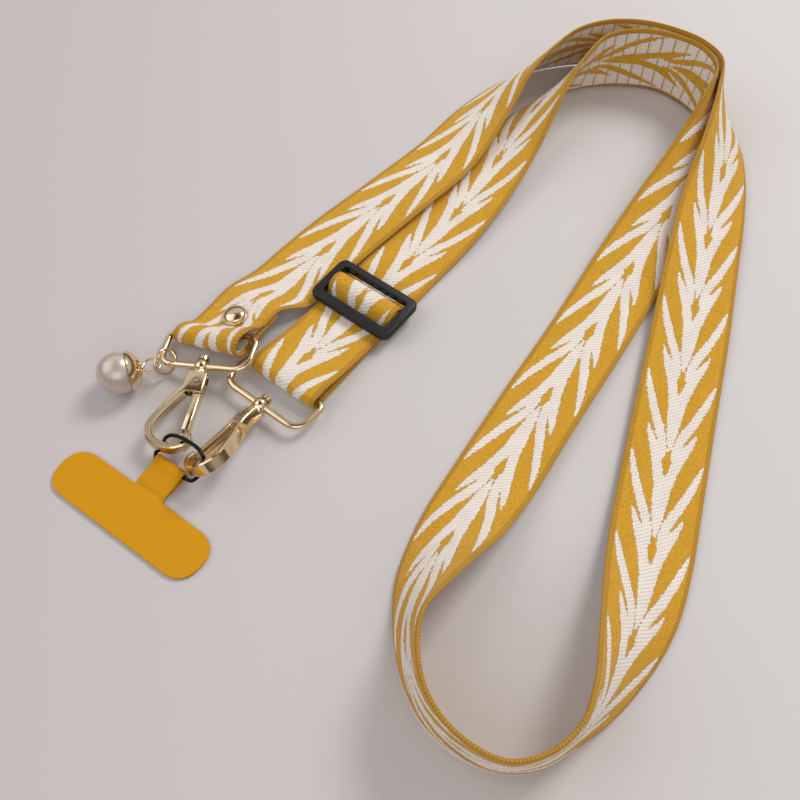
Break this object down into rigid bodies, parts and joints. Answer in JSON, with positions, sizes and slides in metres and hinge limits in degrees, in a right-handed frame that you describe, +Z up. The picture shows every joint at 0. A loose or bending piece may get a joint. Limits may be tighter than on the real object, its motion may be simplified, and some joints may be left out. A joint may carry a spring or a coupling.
{
  "type": "phone crossbody strap",
  "caption": "Mustard and cream jacquard crossbody phone strap laid in a double loop, with champagne-gold swivel snap hooks, a black slider, a pearl charm and a phone tab.",
  "frame": {"origin": "middle of the bounding box at the height of the surface the strap lies on", "axes": "+Y from the viewer to the far end of the laid strap, +X to the right of the picture, +Z up"},
  "size_m": [0.23, 0.2726, 0.026],
  "materials": {
    "jacquard_webbing": "matte woven jacquard, mustard ground with raised cream feather pattern",
    "black_acetal": "matte moulded black",
    "champagne_gold_plate": "polished pale gold plating on zinc alloy",
    "black_plated_wire": "glossy black plated wire",
    "mustard_tab": "fine flat weave bonded sheet",
    "imitation_pearl": "pearlescent lacquer"
  },
  "bodies": {
    "laid_strap": {"webbing": "jacquard_webbing", "rivet": "champagne_gold_plate", "slider": "black_acetal", "bail_1": "champagne_gold_plate", "bail_2": "champagne_gold_plate", "tether_ring": "black_plated_wire", "phone_tab": "mustard_tab", "pearl": "imitation_pearl", "pearl_cap": "champagne_gold_plate", "jump_ring": "champagne_gold_plate"},
    "hook_1": {"hook_body_1": "champagne_gold_plate"},
    "gate_arm_1": {"gate_1": "champagne_gold_plate"},
    "hook_2": {"hook_body_2": "champagne_gold_plate"},
    "gate_arm_2": {"gate_2": "champagne_gold_plate"}
  },
  "joints": [
    {"name": "swivel_1", "type": "hinge", "parent": "laid_strap", "child": "hook_1", "pos_m": [-0.07169, -0.0013, 0.00532], "axis": [0.1822, 0.9832, -0.0052], "range_deg": [-3, 40]},
    {"name": "gate_hinge_1", "type": "hinge", "parent": "hook_1", "child": "gate_arm_1", "pos_m": [-0.07449, -0.01974, 0.00542], "axis": [-0.0012, -0.0051, -1], "range_deg": [0, 22], "stiffness_Nm_per_rad": 0.002},
    {"name": "swivel_2", "type": "hinge", "parent": "laid_strap", "child": "hook_2", "pos_m": [-0.04713, -0.01707, 0.00305], "axis": [0.6135, 0.7852, -0.0837], "range_deg": [-18, 38]},
    {"name": "gate_hinge_2", "type": "hinge", "parent": "hook_2", "child": "gate_arm_2", "pos_m": [-0.05895, -0.03145, 0.00422], "axis": [-0.4671, 0.4463, 0.7633], "range_deg": [0, 7], "stiffness_Nm_per_rad": 0.002}
  ]
}
